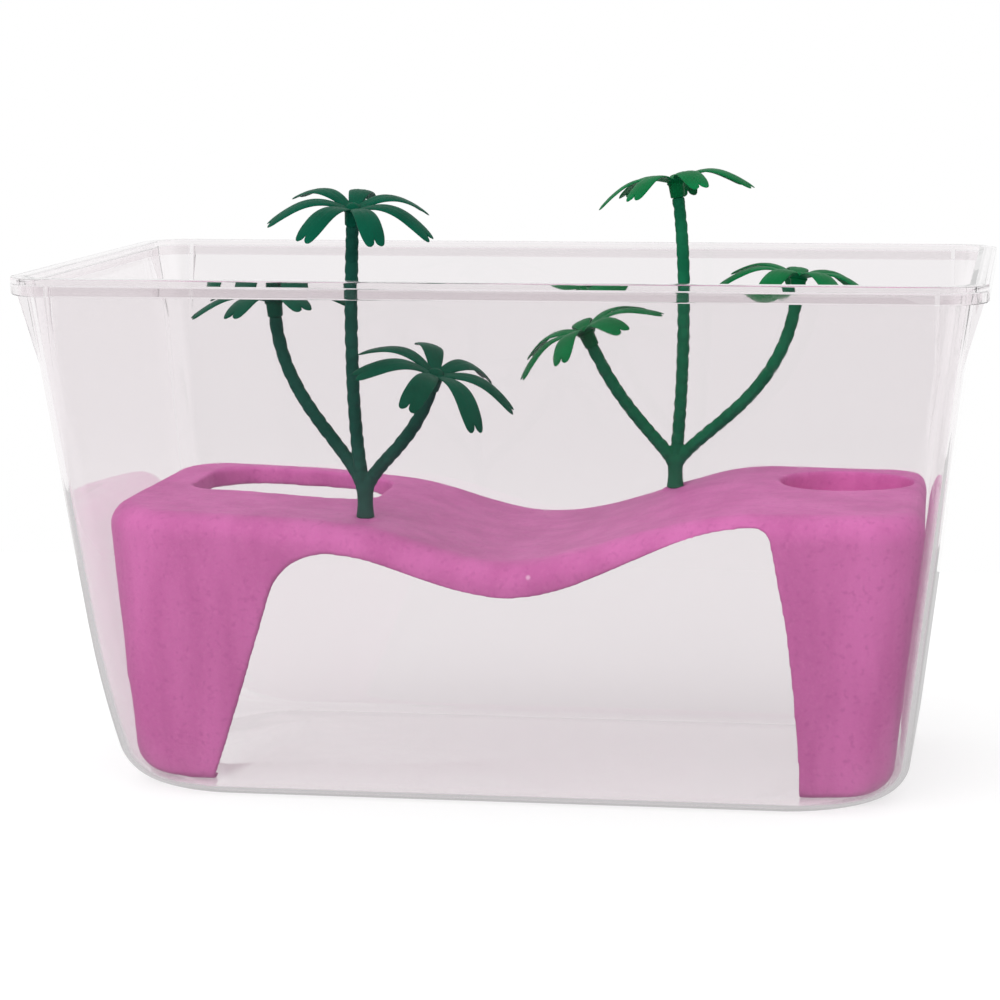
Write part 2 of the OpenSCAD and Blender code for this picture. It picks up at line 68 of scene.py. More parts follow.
# Island sizes
ISLAND_WALL = 2.2
LEFT_TOP = 114.0
PALM_TOP = 109.0
DIP_TOP = 96.0
RIGHT_TOP = 117.0
END_GAP = 3.2
SIDE_GAP = 17.5
ISLAND_X = TOP_X - (TANK_HEIGHT - RIGHT_TOP) * DRAFT - WALL - END_GAP
ISLAND_Y = TOP_Y - (TANK_HEIGHT - RIGHT_TOP) * DRAFT - WALL - SIDE_GAP
EDGE_R = 9.5
ISLAND_CORNER = 25.0
FRONT_LEFT_CORNER = 40.0
FOOT_CORNER = 9.0
CORNER_GAP = 1.6
LEG_DRAW = 15.0
SIDE_CURL = 4.0
FOOT_FLANGE = 2.0
LEFT_SKIRT = 11.0
DIP_SKIRT = 13.5
RIGHT_SKIRT = 5.0
BACK_SKIRT = 12.0
# How much shorter the back skirt is behind the access hole, and half the stretch
BACK_SKIRT_LESS = 2.9
BACK_SKIRT_LESS_HALF = 46.0
LEFT_LEG = 47.5
RIGHT_LEG = 50.5
RIGHT_LEG_TOP = 61.0
LEFT_ARCH_R = 25.0
RIGHT_ARCH_R = 6.5
END_WALL_BACK = -5.0
END_WALL_LEAN = 12.0
LEFT_PLATEAU = 29.0
RIGHT_PLATEAU = 72.0
LEFT_STATION = -ISLAND_X + LEFT_PLATEAU
RIGHT_STATION = ISLAND_X - RIGHT_PLATEAU
PALM_SLOPE = -0.12
# Each palm's place: how far it is from the middle, and how far in from the front or back edge
LEFT_PALM_X = 60.0
LEFT_PALM_IN = 30.4
LEFT_PALM_Y = ISLAND_Y - LEFT_PALM_IN
RIGHT_PALM_X = 55.0
RIGHT_PALM_IN = 19.4
RIGHT_PALM_Y = ISLAND_Y - RIGHT_PALM_IN
PALM_PLACES = {"left": (-LEFT_PALM_X, -LEFT_PALM_Y), "right": (RIGHT_PALM_X, RIGHT_PALM_Y)}
FOOT_GAP = 3.0
FOOT_X = TOP_X - TANK_HEIGHT * DRAFT - FLOOR_END_R - FOOT_GAP
END_CURL = ISLAND_X - (RIGHT_TOP - WALL) * DRAFT - FOOT_X
LEFT_ARCH_X = -ISLAND_X + LEFT_LEG + 2 * LEFT_ARCH_R
RIGHT_ARCH_X = ISLAND_X - RIGHT_LEG_TOP - RIGHT_ARCH_R
HOLE_LENGTH = 80.0
HOLE_WIDTH = 65.0
HOLE_CORNER = 20.0
HOLE_LIP = 5.0
HOLE_FROM_END = 22.0
HOLE_FROM_BACK = 17.5
HOLE_X = -ISLAND_X + HOLE_FROM_END + HOLE_LENGTH / 2
HOLE_Y = ISLAND_Y - HOLE_FROM_BACK - HOLE_WIDTH / 2
DISH_R = 27.75
DISH_DEPTH = 14.0
DISH_ROUND = 6.0
DISH_FROM_END = 37.5
DISH_FROM_BACK = 47.0
DISH_X = ISLAND_X - DISH_FROM_END
DISH_Y = ISLAND_Y - DISH_FROM_BACK
# Place of a small painted highlight: a pale glint painted into the colour on the front of the dip
GLINT_PLACE = (11.5, -72.4, 91.0)
# Sizes and heights of the waves in the moulded surface
ISLAND_WAVES = ((40.0, 0.9), (13.0, 0.16), (5.0, 0.08))
# How far the waves fade above the floor and round a palm's foot
FLOOR_FADE = 10.0
FOOT_FADE = 8.0
# How far cutters reach past what they cut: outlines, the access hole, and the dish and bores
PAST = 10.0
HOLE_PAST = 15.0
BORE_PAST = 9.0

# Palm sizes
PEG_R = 2.5
PEG_LENGTH = 11.0
FIT_GAP = 0.08
SEAT_GAP = 0.05
# Room for what the remesh and the facets take from a bore or a spigot
BORE_SPARE = 0.1
SPIGOT_SPARE = 0.12
SOCKET_R = 5.5
SOCKET_DEPTH = 12.0
PALM_FOOT_R = 3.7
NECK_R = 3.0
FORK = 13.0
STEM_R = 2.7
BARK = 0.3
BARK_PITCH = 6.0
BARK_WOBBLE = 0.22
BARK_NOTCH = 0.10
# Power that fills out the bulges between the bark's grooves
BARK_POWER = 0.7
# Noise in the bark: how much of it lies round the stem, and its size along the stem
BARK_WOBBLE_ROUND = 2.2
BARK_WOBBLE_ALONG = 2.6
BARK_NOTCH_ROUND = 1.2
BARK_NOTCH_ALONG = 0.9
# Where the noise of a palm's first stem starts, and the step to the next stem
BARK_START = 1.7
BARK_STEP = 3.1
# Extra radius of a stem at the fork, and the length over which it fades
FORK_SWELL = 0.75
FORK_FADE = 7.0
# Shares of a stem's length and reach that shape its curve
STEM_RISE = 0.22
STEM_PULL = 0.25
STEM_PULL_OUT = 0.35
# Share of a stem's curve over which its direction is read
STEM_AHEAD = 0.01
SPIGOT_R = 1.6
SPIGOT_LENGTH = 6.0
COLLAR_R = 3.3
COLLAR_HEIGHT = 7.5
# Free room above the spigot's end in the collar's blind bore
BLIND_SPARE = 0.05
# The collar's dome, in shares of its radius: how wide it is and how far it sits in; and its first angle
DOME_WIDE = 1.2
DOME_SUNK = 0.36
DOME_ANGLE = 12
LEAVES = 7
REACH = 34.0
LEAF_HALF = 5.0
LEAF_THICK = 1.0
LEAF_RISE = 4.5
LEAF_DROOP = 5.0
# Change of the droop from leaf to leaf, and the angle between changes in degrees
DROOP_CHANGE = 2.0
DROOP_TURN = 137
# The leaf's width follows a sine from the first angle over the second, in degrees
LEAF_ROOT_ANGLE = 22
LEAF_ANGLE_RUN = 98
# How near to its sides the leaf's mesh comes, as a share of its half width
LEAF_SIDE = 0.985
# Fall of the leaf's sides from its middle, how much of it is undone at the tip, and its power
LEAF_FOLD = 1.1
FOLD_UNDONE = 0.5
FOLD_POWER = 1.6
# Depth of the crease along the middle, its width, and how soon it runs out along the leaf
LEAF_CREASE = 0.16
CREASE_WIDTH = 0.1
CREASE_RUN = 1.15
# Height of the ribs, how many half waves they make on each side, and how soon they rise along the leaf
LEAF_RIB = 0.07
RIB_WAVES = 7
RIB_RISE = 4
# Depth of the notch between the lobes, its share at each side of a lobe, where the lobes start, and how
# sharply they do
NOTCH = 2.4
LOBE_OUTSIDE = 1.5
LOBE_INSIDE = 1.15
LOBE_FROM = 0.75
LOBE_POWER = 1.5
# Where the leaf's tip starts to thin, and over what share of its length
THIN_FROM = 0.92
THIN_RUN = 0.08
# Least share of its thickness that the tip keeps, squared, and the power by which the sides thin
THIN_LEAST = 0.03
SIDE_POWER = 5
# Each stem: end from the foot, lean and side in degrees, turn of the crown, climb, share of the droop
STEMS = {
    "left_tall": ((-4, 0, 118), 14, -68, 41, 3, 1.1),
    "left_outer": ((-39, 12, 80), 5, -140, 47, 3, 0.4),
    "left_inner": ((30, -13, 54), 24, -33, 8, 2.6, 1),
    "right_tall": ((1, 0, 124), 9, 166, 37, 3, 1),
    "right_inner": ((-35, -6, 61), 25, -168, 49, 1.3, 0.8),
    "right_outer": ((52, -4, 84), 6, 12, 45, 1.2, 0.9),
}


# Mesh helpers


def add_object(name, data):
    obj = bpy.data.objects.new(name, data)
    bpy.context.scene.collection.objects.link(obj)
    return obj


def mesh_object(name, points, faces):
    """An object from points in millimetres, with its faces turned outwards."""
    mesh = bpy.data.meshes.new(name)
    mesh.from_pydata((np.asarray(points, float) * MM).tolist(), [], [list(map(int, f)) for f in faces])
    work = bmesh.new()
    work.from_mesh(mesh)
    bmesh.ops.recalc_face_normals(work, faces=work.faces)
    work.to_mesh(mesh)
    work.free()
    mesh.shade_smooth()
    return add_object(name, mesh)


def loft(name, rings, strips=False):
    """A closed skin through rings of equal count; the ends are one face each, or strips across the ring."""
    rings = np.asarray(rings, float)
    rows, n = rings.shape[:2]
    faces = []
    for j in range(rows - 1):
        for i in range(n):
            k = (i + 1) % n
            faces.append((j * n + i, j * n + k, (j + 1) * n + k, (j + 1) * n + i))
    for base in (0, (rows - 1) * n):
        if strips:
            faces += [(base + i, base + i + 1, base + n - 2 - i, base + n - 1 - i) for i in range(n // 2 - 1)]
        else:
            faces.append(tuple(range(base, base + n)))
    return mesh_object(name, rings.reshape(-1, 3), faces)


def revolve(name, profile, sides, matrix=None):
    """A turned solid from a profile of (radius, height) that ends on the axis or closes on itself."""
    profile = np.asarray(profile, float)
    turn = np.linspace(0, 2 * math.pi, sides, endpoint=False)
    points = []
    rows = []
    for r, z in profile:
        if r < ON_AXIS:
            rows.append([len(points)] * sides)
            points.append((0, 0, z))
        else:
            rows.append(list(range(len(points), len(points) + sides)))
            points += [(r * math.cos(a), r * math.sin(a), z) for a in turn]
    faces = []
    closed = profile[0][0] > ON_AXIS
    for j in range(len(rows) if closed else len(rows) - 1):
        low = rows[j]
        high = rows[(j + 1) % len(rows)]
        for i in range(sides):
            k = (i + 1) % sides
            face = list(dict.fromkeys((low[i], low[k], high[k], high[i])))
            if len(face) > 2:
                faces.append(face)
    obj = mesh_object(name, points, faces)
    if matrix is not None:
        obj.data.transform(matrix)
    return obj


def settle(obj):
    """Applies an object's modifiers to its mesh."""
    graph = bpy.context.evaluated_depsgraph_get()
    mesh = bpy.data.meshes.new_from_object(obj.evaluated_get(graph))
    old = obj.data
    obj.modifiers.clear()
    obj.data = mesh
    bpy.data.meshes.remove(old)
    mesh.name = obj.name


def combine(obj, others, operation):
    """Cuts the others from an object, or joins them to it, and removes them."""
    for other in others:
        step = obj.modifiers.new("combine", "BOOLEAN")
        step.operation = operation
        step.solver = "EXACT"
        step.object = other
    settle(obj)
    for other in others:
        bpy.data.objects.remove(other)


def joined(name, objects):
    """One object that holds the meshes of several, which are removed."""
    work = bmesh.new()
    for obj in objects:
        work.from_mesh(obj.data)
        bpy.data.objects.remove(obj)
    mesh = bpy.data.meshes.new(name)
    work.to_mesh(mesh)
    work.free()
    return add_object(name, mesh)


def remesh(obj, voxel, rounds, keep):
    """Fuses an object's shells at a voxel size in millimetres, softens its edges and thins its mesh."""
    step = obj.modifiers.new("voxel", "REMESH")
    step.mode = "VOXEL"
    step.voxel_size = voxel * MM
    step = obj.modifiers.new("soften", "SMOOTH")
    step.factor = 0.5
    step.iterations = rounds
    settle(obj)
    step = obj.modifiers.new("thin", "DECIMATE")
    step.ratio = keep
    settle(obj)
    obj.data.shade_smooth()


def roughen(obj, waves, still):
    """Moves points along their normals by smooth noise: waves are sizes and heights in millimetres.

    The noise fades near the floor and near the places in still.
    """
    mesh = obj.data
    count = len(mesh.vertices)
    points = np.empty(count * 3)
    normals = np.empty(count * 3)
    mesh.vertices.foreach_get("co", points)
    mesh.vertices.foreach_get("normal", normals)
    points = points.reshape(-1, 3) / MM
    normals = normals.reshape(-1, 3)
    share = np.clip((points[:, 2] - WALL) / FLOOR_FADE, 0, 1)
    for place in still:
        share *= np.clip((np.linalg.norm(points - place, axis=1) - FOOT_FADE) / FOOT_FADE, 0, 1)
    lift = np.zeros(count)
    for size, height in waves:
        lift += height * np.array([noise.noise(Vector(p)) for p in points / size])
    points = (points + normals * (lift * share)[:, None]) * MM
    mesh.vertices.foreach_set("co", points.ravel())
    mesh.update()


# Curves and rings, as in the part


def curl(z, r, base):
    """How far a rounded foot of radius r draws in at height z."""
    return 0.0 if z - base >= r else r - math.sqrt(max(0.0, r * r - (r - (z - base)) ** 2))


def bridge(x, x0, z0, slope0, x1, z1, slope1):
    """Height at x of a smooth curve between two places with their slopes."""
    run = x1 - x0
    t = (x - x0) / run
    return ((1 + 2 * t) * (1 - t) ** 2 * z0 + t * (1 - t) ** 2 * run * slope0
            + t * t * (3 - 2 * t) * z1 + t * t * (t - 1) * run * slope1)


def top_height(x):
    """Height of the island's wavy top."""
    if x <= LEFT_STATION:
        return LEFT_TOP
    if x <= -LEFT_PALM_X:
        return bridge(x, LEFT_STATION, LEFT_TOP, 0, -LEFT_PALM_X, PALM_TOP, PALM_SLOPE)
    if x <= 0:
        return bridge(x, -LEFT_PALM_X, PALM_TOP, PALM_SLOPE, 0, DIP_TOP, 0)
    if x <= RIGHT_STATION:
        return bridge(x, 0, DIP_TOP, 0, RIGHT_STATION, RIGHT_TOP, 0)
    return RIGHT_TOP


def palm_foot(side):
    """Where a palm stands on the island's top."""
    x, y = PALM_PLACES[side]
    return (x, y, top_height(x))


def front_edge(x):
    """Height of the front skirt's lower edge."""
    if x <= 0:
        return bridge(x, LEFT_ARCH_X, top_height(LEFT_ARCH_X) - LEFT_SKIRT, 0, 0, DIP_TOP - DIP_SKIRT, 0)
    return bridge(x, 0, DIP_TOP - DIP_SKIRT, 0, RIGHT_ARCH_X, RIGHT_TOP - RIGHT_SKIRT, 0)


def arc(centre, r, start, end, steps):
    turn = np.radians(np.linspace(start, end, steps + 1))
    return [(centre[0] + r * math.cos(a), centre[1] + r * math.sin(a)) for a in turn]


def between(p, q, count):
    """Evenly spaced points between two others, without them."""
    p = np.asarray(p, float)
    q = np.asarray(q, float)
    return [tuple(p + (q - p) * k / (count + 1)) for k in range(1, count + 1)]


def plan_ring(half_x, half_y, r, front_left_r, steps, along, across=0):
    """Rounded rectangle, anticlockwise from the right end, with extra points on its sides and ends."""
    back_right = arc((half_x - r, half_y - r), r, 0, 90, steps)
    back_left = arc((r - half_x, half_y - r), r, 90, 180, steps)
    front_left = arc((front_left_r - half_x, front_left_r - half_y), front_left_r, 180, 270, steps)
    front_right = arc((half_x - r, r - half_y), r, 270, 360, steps)
    return (back_right + between(back_right[-1], back_left[0], along) + back_left
            + between(back_left[-1], front_left[0], across) + front_left
            + between(front_left[-1], front_right[0], along) + front_right
            + between(front_right[-1], back_right[0], across))


def corner_at(z):
    """Radius of the tank's upright corners at a height."""
    return CORNER + (FLOOR_CORNER - CORNER) * max(0.0, 1 - z / CORNER_BLEND) ** 2


def tank_half(z, depth):
    """Half length and half depth of the tank at a height, at a depth into its wall."""
    inset = (TANK_HEIGHT - z) * DRAFT + depth
    return (TOP_X - inset - curl(z, FLOOR_END_R - depth, depth),
            TOP_Y - inset - curl(z, FLOOR_SIDE_R - depth, depth))


# Tank

TANK_STEPS = 20
TANK_ALONG = 24
TANK_ACROSS = 14
FLOOR_STEPS = 14
RIM_STEPS = 5
TANK_SHARP = 38


def tank_ring(z, depth):
    half = tank_half(z, depth)
    r = corner_at(z) - depth
    return [(x, y, z) for x, y in plan_ring(*half, r, r, TANK_STEPS, TANK_ALONG, TANK_ACROSS)]


def rounded_path(points, radii, steps):
    """A path of straight runs whose inner points are rounded."""
    points = [np.asarray(p, float) for p in points]
    path = [points[0]]
    for before, here, after, r in zip(points, points[1:], points[2:], radii):
        back = (before - here) / np.linalg.norm(before - here)
        ahead = (after - here) / np.linalg.norm(after - here)
        half = math.acos(float(np.clip(back @ ahead, -1, 1))) / 2
        middle = here + (back + ahead) / np.linalg.norm(back + ahead) * r / math.sin(half)
        start = here + back * r / math.tan(half)
        end = here + ahead * r / math.tan(half)
        for share in np.linspace(0, 1, steps + 1):
            way = start + (end - start) * share - middle
            path.append(middle + way / np.linalg.norm(way) * r)
    path.append(points[-1])
    return path


def wall_point(z, depth):
    """How far out a wall's face stands at height z, and z."""
    return (-(TANK_HEIGHT - z) * DRAFT - depth, z)


def floor_profile(depth):
    """Heights and depths from the floor up the rounding and the corners' blend."""
    turn = np.radians(np.linspace(90, 0, FLOOR_STEPS + 1))
    heights = [depth + (FLOOR_END_R - depth) * (1 - math.sin(a)) for a in turn]
    heights += WALL_STATIONS
    return [(z, depth) for z in heights]


def make_tank():
    """The tub with its turned-down rim, and a rib under the rim on each side of every corner."""
    under = TANK_HEIGHT - WALL
    foot = TANK_HEIGHT - RIM_SKIRT
    skirt = RIM_OUT - WALL
    corners = [wall_point(RIM_ROOT, 0), wall_point(under, 0), wall_point(under, -skirt), (skirt, foot),
               (RIM_OUT, foot), (RIM_OUT, TANK_HEIGHT), (-WALL, TANK_HEIGHT), wall_point(RIM_ROOT, WALL)]
    rim = rounded_path(corners, RIM_ROUNDS, RIM_STEPS)
    rim = [(z, -out - (TANK_HEIGHT - z) * DRAFT) for out, z in rim]
    profile = floor_profile(0) + rim + floor_profile(WALL)[::-1]
    tank = loft("tank_shell", [tank_ring(z, depth) for z, depth in profile])
    into = WALL / 2
    out = RIM_OUT - into
    outline = [(-into, into), (out, into), (out, into - RIM_SKIRT / 2),
               (-into - RIB_HEIGHT * DRAFT, -RIB_HEIGHT)]
    ribs = []
    for end in (-1, 1):
        for side in (-1, 1):
            for place, turn in (((end * (TOP_X - CORNER), side * TOP_Y), side * 90),
                                ((end * TOP_X, side * (TOP_Y - CORNER)), 90 - end * 90)):
                faces = [[(x, y, z) for x, z in outline] for y in (-RIB_THICK / 2, RIB_THICK / 2)]
                rib = loft("rib", faces)
                rib.data.transform(Matrix.Translation(Vector((*place, under)) * MM)
                                   @ Matrix.Rotation(math.radians(turn), 4, "Z"))
                ribs.append(rib)
    ribs = joined("ribs", ribs)
    combine(tank, [ribs], "UNION")
    tank.data.shade_smooth()
    tank.data.set_sharp_from_angle(angle=math.radians(TANK_SHARP))
    return tank


# Island

RING_STEPS = 14
RING_POINTS = 150
HOLE_STEPS = 12
HOLE_ALONG = 20
HOLE_ACROSS = 14
TURNED_SIDES = 96
BORE_SIDES = 48
EDGE_RINGS = 10
INNER_EDGE_RINGS = 8
CURL_RINGS = 12
LEFT_ARCH_STEPS = 20
RIGHT_ARCH_STEPS = 10
FRONT_EDGE_POINTS = 90
RIGHT_LEG_POINTS = 24
BACK_EDGE_POINTS = 110
BACK_ARCH_STEPS = 12
END_ARCH_STEPS = 16
DISH_STEPS = 8
# Least corner radius of a ring in the shell
LEAST_CORNER = 0.5
# How much wider than the bore the shell is cut where a socket goes in
SOCKET_CUT = 1.0


def edge_ring(angle, depth):
    """A ring of the rounded top edge, at an angle up from level and a depth into the shell."""
    r = EDGE_R - depth
    a = math.radians(angle)
    inset = depth + r * (1 - math.cos(a))
    drop = depth + r * (1 - math.sin(a))
    plan = plan_ring(ISLAND_X - inset, ISLAND_Y - inset, ISLAND_CORNER - inset,
                     FRONT_LEFT_CORNER - inset, RING_STEPS, RING_POINTS)
    return [(x, y, top_height(x) - drop) for x, y in plan]


def clear_corner(z, half):
    """Least corner radius that keeps the island clear of the tank's corner at a height."""
    room = np.array(tank_half(z, WALL)) - half
    spare = 2 * (room[0] - CORNER_GAP) * (room[1] - CORNER_GAP)
    return corner_at(z) - WALL - (room[0] + room[1] - CORNER_GAP) - math.sqrt(max(0.0, spare))


def leg_ring(z, depth, further):
    """A ring of the legs at a height, at a depth into the shell and further in."""
    lean_x = (RIGHT_TOP - z) * DRAFT
    down = (RIGHT_TOP - z) / (RIGHT_TOP - WALL)
    lean_y = down * (LEG_DRAW - SIDE_CURL)
    base = WALL + depth
    outer = np.array([ISLAND_X - lean_x - curl(z, END_CURL, WALL),
                      ISLAND_Y - lean_y - curl(z, SIDE_CURL, WALL)])
    least = clear_corner(z, outer)
    corner = max(least, ISLAND_CORNER + (FOOT_CORNER - ISLAND_CORNER) * down)
    front_left = max(least, FOOT_CORNER + (FRONT_LEFT_CORNER - FOOT_CORNER) * (1 - down) ** 2)
    inset = depth + further
    half_x = ISLAND_X - lean_x - inset - curl(z, END_CURL - depth, base)
    half_y = ISLAND_Y - lean_y - inset - curl(z, SIDE_CURL - depth, base)
    plan = plan_ring(half_x, half_y, max(LEAST_CORNER, corner - inset),
                     max(LEAST_CORNER, front_left - inset), RING_STEPS, RING_POINTS)
    return [(x, y, z) for x, y in plan]


def curl_heights(depth):
    """Heights of the rings round the foot of the legs."""
    turn = np.radians(np.linspace(0, 90, CURL_RINGS))
    return [WALL + depth + (END_CURL - depth) * (1 - math.sin(a)) for a in turn]


def prism(name, outline, start, end, axis):
    """A solid between two planes across an axis; the outline is in the other two, in order."""
    if axis == "Y":
        return loft(name, [[(x, y, z) for x, z in outline] for y in (start, end)])
    if axis == "X":
        return loft(name, [[(x, y, z) for y, z in outline] for x in (start, end)])
    return loft(name, [[(x, y, z) for x, y in outline] for z in (start, end)])


def front_opening():
    """Outline of the arch in the front, from foot to foot."""
    foot_left = (-ISLAND_X + LEFT_LEG, WALL)
    foot_right = (ISLAND_X - RIGHT_LEG, WALL)
    left_c = (LEFT_ARCH_X, front_edge(LEFT_ARCH_X) - LEFT_ARCH_R)
    way = (foot_left[0] - left_c[0], foot_left[1] - left_c[1])
    touch = (360 + math.degrees(math.atan2(way[1], way[0]))
             - math.degrees(math.acos(LEFT_ARCH_R / math.hypot(*way))))
    right_c = (RIGHT_ARCH_X, front_edge(RIGHT_ARCH_X) - RIGHT_ARCH_R)
    side = (right_c[0] + RIGHT_ARCH_R, right_c[1])
    outline = [(foot_left[0], -PAST), foot_left]
    outline += arc(left_c, LEFT_ARCH_R, touch, 90, LEFT_ARCH_STEPS)
    places = np.linspace(LEFT_ARCH_X, RIGHT_ARCH_X, FRONT_EDGE_POINTS)[1:-1]
    outline += [(x, front_edge(x)) for x in places]
    outline += arc(right_c, RIGHT_ARCH_R, 90, 0, RIGHT_ARCH_STEPS)
    wide = foot_right[0] - side[0]
    high = foot_right[1] - side[1]
    shares = np.linspace(0, 1, RIGHT_LEG_POINTS)[1:]
    outline += [(side[0] + wide * (1 - (1 - t) ** 2), side[1] + high * t) for t in shares]
    outline.append((foot_right[0], -PAST))
    return outline


def back_skirt(x):
    """Drop of the back edge, which is less behind the access hole."""
    return BACK_SKIRT - BACK_SKIRT_LESS * math.exp(-((x - HOLE_X) / BACK_SKIRT_LESS_HALF) ** 4)


def back_opening():
    """Outline of what is open at the back, up to the right leg."""
    foot_right = ISLAND_X - RIGHT_LEG
    right_x = foot_right - BACK_SKIRT
    outline = [(-ISLAND_X - PAST, -PAST), (-ISLAND_X - PAST, LEFT_TOP - BACK_SKIRT)]
    places = np.linspace(-ISLAND_X, right_x, BACK_EDGE_POINTS)[1:-1]
    outline += [(x, top_height(x) - back_skirt(x)) for x in places]
    outline += arc((right_x, top_height(right_x) - 2 * BACK_SKIRT), BACK_SKIRT, 90, 0, BACK_ARCH_STEPS)
    outline.append((foot_right, -PAST))
    return outline


def end_opening():
    """Outline of what is open at the left end, behind the leg that runs round it."""
    top = LEFT_TOP - BACK_SKIRT
    outline = [(END_WALL_BACK, -PAST), (END_WALL_BACK, WALL)]
    round_y = END_WALL_BACK + END_WALL_LEAN + LEFT_ARCH_R
    outline += arc((round_y, top - LEFT_ARCH_R), LEFT_ARCH_R, 180, 90, END_ARCH_STEPS)
    outline += [(ISLAND_Y + PAST, top), (ISLAND_Y + PAST, -PAST)]
    return outline


def hole_plan(grow):
    """Outline of the access hole, grown by a distance."""
    plan = plan_ring(HOLE_LENGTH / 2 + grow, HOLE_WIDTH / 2 + grow, HOLE_CORNER + grow, HOLE_CORNER + grow,
                     HOLE_STEPS, HOLE_ALONG, HOLE_ACROSS)
    return [(x + HOLE_X, y + HOLE_Y) for x, y in plan]


def hole_band():
    """The lip that hangs round the access hole."""
    into = ISLAND_WALL / 2
    deep = HOLE_LIP + ISLAND_WALL
    section = ((0, deep), (ISLAND_WALL, deep), (ISLAND_WALL, into), (0, into))
    rings = np.array([[(x, y, top_height(x) - drop) for x, y in hole_plan(grow)] for grow, drop in section])
    rows, n = rings.shape[:2]
    faces = []
    for j in range(rows):
        after = (j + 1) % rows
        for i in range(n):
            k = (i + 1) % n
            faces.append((j * n + i, j * n + k, after * n + k, after * n + i))
    return mesh_object("hole_band", rings.reshape(-1, 3), faces)


def dish_cup(place):
    """The food dish that hangs under its round cut."""
    outer_r = DISH_R + ISLAND_WALL
    outer_round = DISH_ROUND + ISLAND_WALL
    top = -ISLAND_WALL / 2
    cup = [(0, -DISH_DEPTH - ISLAND_WALL)]
    outer_z = outer_round - DISH_DEPTH - ISLAND_WALL
    cup += arc((outer_r - outer_round, outer_z), outer_round, 270, 360, DISH_STEPS)
    cup += [(outer_r, top), (DISH_R, top)]
    cup += arc((DISH_R - DISH_ROUND, DISH_ROUND - DISH_DEPTH), DISH_ROUND, 360, 270, DISH_STEPS)
    cup.append((0, -DISH_DEPTH))
    return revolve("cup", cup, TURNED_SIDES, place)


def island_skin():
    """The whole shell before it is cut: down its inside to the foot flange, and up its outside."""
    rings = [edge_ring(a, ISLAND_WALL) for a in np.linspace(90, 0, INNER_EDGE_RINGS)]
    rings += [leg_ring(z, ISLAND_WALL, 0) for z in curl_heights(ISLAND_WALL)]
    rings.append(leg_ring(WALL + ISLAND_WALL, ISLAND_WALL, FOOT_FLANGE))
    rings.append(leg_ring(WALL, 0, FOOT_FLANGE + ISLAND_WALL))
    rings += [leg_ring(z, 0, 0) for z in curl_heights(0)[::-1]]
    rings += [edge_ring(a, 0) for a in np.linspace(0, 90, EDGE_RINGS)]
    return loft("island_skin", rings, strips=True)


def make_island():
    """The cut shell with its lip, dish and sockets, fused into one skin with an uneven surface."""
    shell = island_skin()
    reach = ISLAND_Y + PAST
    end_reach = -ISLAND_X + LEFT_PLATEAU + ISLAND_CORNER
    cutters = [prism("front_cut", front_opening(), -reach, 0, "Y"),
               prism("back_cut", back_opening(), END_WALL_BACK + LEFT_ARCH_R, reach, "Y"),
               prism("end_cut", end_opening(), -ISLAND_X - PAST, end_reach, "X"),
               prism("hole_cut", hole_plan(0), PALM_TOP - HOLE_PAST, PALM_TOP + HOLE_PAST, "Z")]
    dish = Matrix.Translation(Vector((DISH_X, DISH_Y, RIGHT_TOP)) * MM)
    mouth = [(0, -BORE_PAST), (DISH_R, -BORE_PAST), (DISH_R, BORE_PAST), (0, BORE_PAST)]
    cutters.append(revolve("dish_cut", mouth, TURNED_SIDES, dish))
    parts = [shell]
    bore = PEG_R + FIT_GAP + BORE_SPARE
    wide = bore + SOCKET_CUT
    bottom = -SOCKET_DEPTH - BORE_PAST
    channel = [(0, bottom), (wide, bottom), (wide, 0), (SOCKET_R, 0), (SOCKET_R, BORE_PAST), (0, BORE_PAST)]
    socket = [(bore, -SOCKET_DEPTH), (SOCKET_R, -SOCKET_DEPTH), (SOCKET_R, 0), (bore, 0)]
    for side in PALM_PLACES:
        place = Matrix.Translation(Vector(palm_foot(side)) * MM)
        cutters.append(revolve("bore_cut", channel, BORE_SIDES, place))
        parts.append(revolve("socket", socket, BORE_SIDES, place))
    combine(shell, cutters, "DIFFERENCE")
    parts.append(dish_cup(dish))
    parts.append(hole_band())
    island = joined("island_shell", parts)
    remesh(island, voxel=0.9, rounds=6, keep=0.4)
    roughen(island, ISLAND_WAVES, [palm_foot(side) for side in PALM_PLACES])
    return island


# Palms

STEM_SIDES = 28
RINGS_PER_TURN = 14
PALM_SIDES = 40
SPIGOT_SIDES = 24
CROWN_SHARP = 50
DOME_STEPS = 8
# Points of a leaf's mesh: across it, along it and along its lobes
LEAF_ACROSS = 23
LEAF_ALONG = 19
LOBE_ALONG = 16
# Turned profile of a palm's peg, foot and neck: radius, and height above the foot's seat
SPINE = (
    (0, -PEG_LENGTH), (PEG_R - 0.4, -PEG_LENGTH), (PEG_R, -PEG_LENGTH + 0.5), (PEG_R, 0),
    (PALM_FOOT_R - 0.2, 0), (PALM_FOOT_R, 0.4), (PALM_FOOT_R - 0.25, 2.0), (NECK_R + 0.2, 4.5),
    (NECK_R + 0.15, FORK / 2), (NECK_R + 0.4, FORK - 1.5), (NECK_R, FORK + 0.8), (0, FORK + 1.6),
)
# Turned profile of a spigot, from inside its stem to its chamfered end
SPIGOT_SLIM = SPIGOT_R - SPIGOT_SPARE
SPIGOT = (
    (0, -4), (SPIGOT_SLIM, -4), (SPIGOT_SLIM, SPIGOT_LENGTH - 0.5), (SPIGOT_SLIM - 0.4, SPIGOT_LENGTH),
    (0, SPIGOT_LENGTH),
)


def bezier(p, t):
    return ((1 - t) ** 3 * p[0] + 3 * t * (1 - t) ** 2 * p[1] + 3 * t * t * (1 - t) * p[2] + t ** 3 * p[3])


def lean_axis(lean, side):
    """The direction that leans from upright towards a side, both in degrees."""
    lean = math.radians(lean)
    side = math.radians(side)
    return np.array([math.sin(lean) * math.cos(side), math.sin(lean) * math.sin(side), math.cos(lean)])


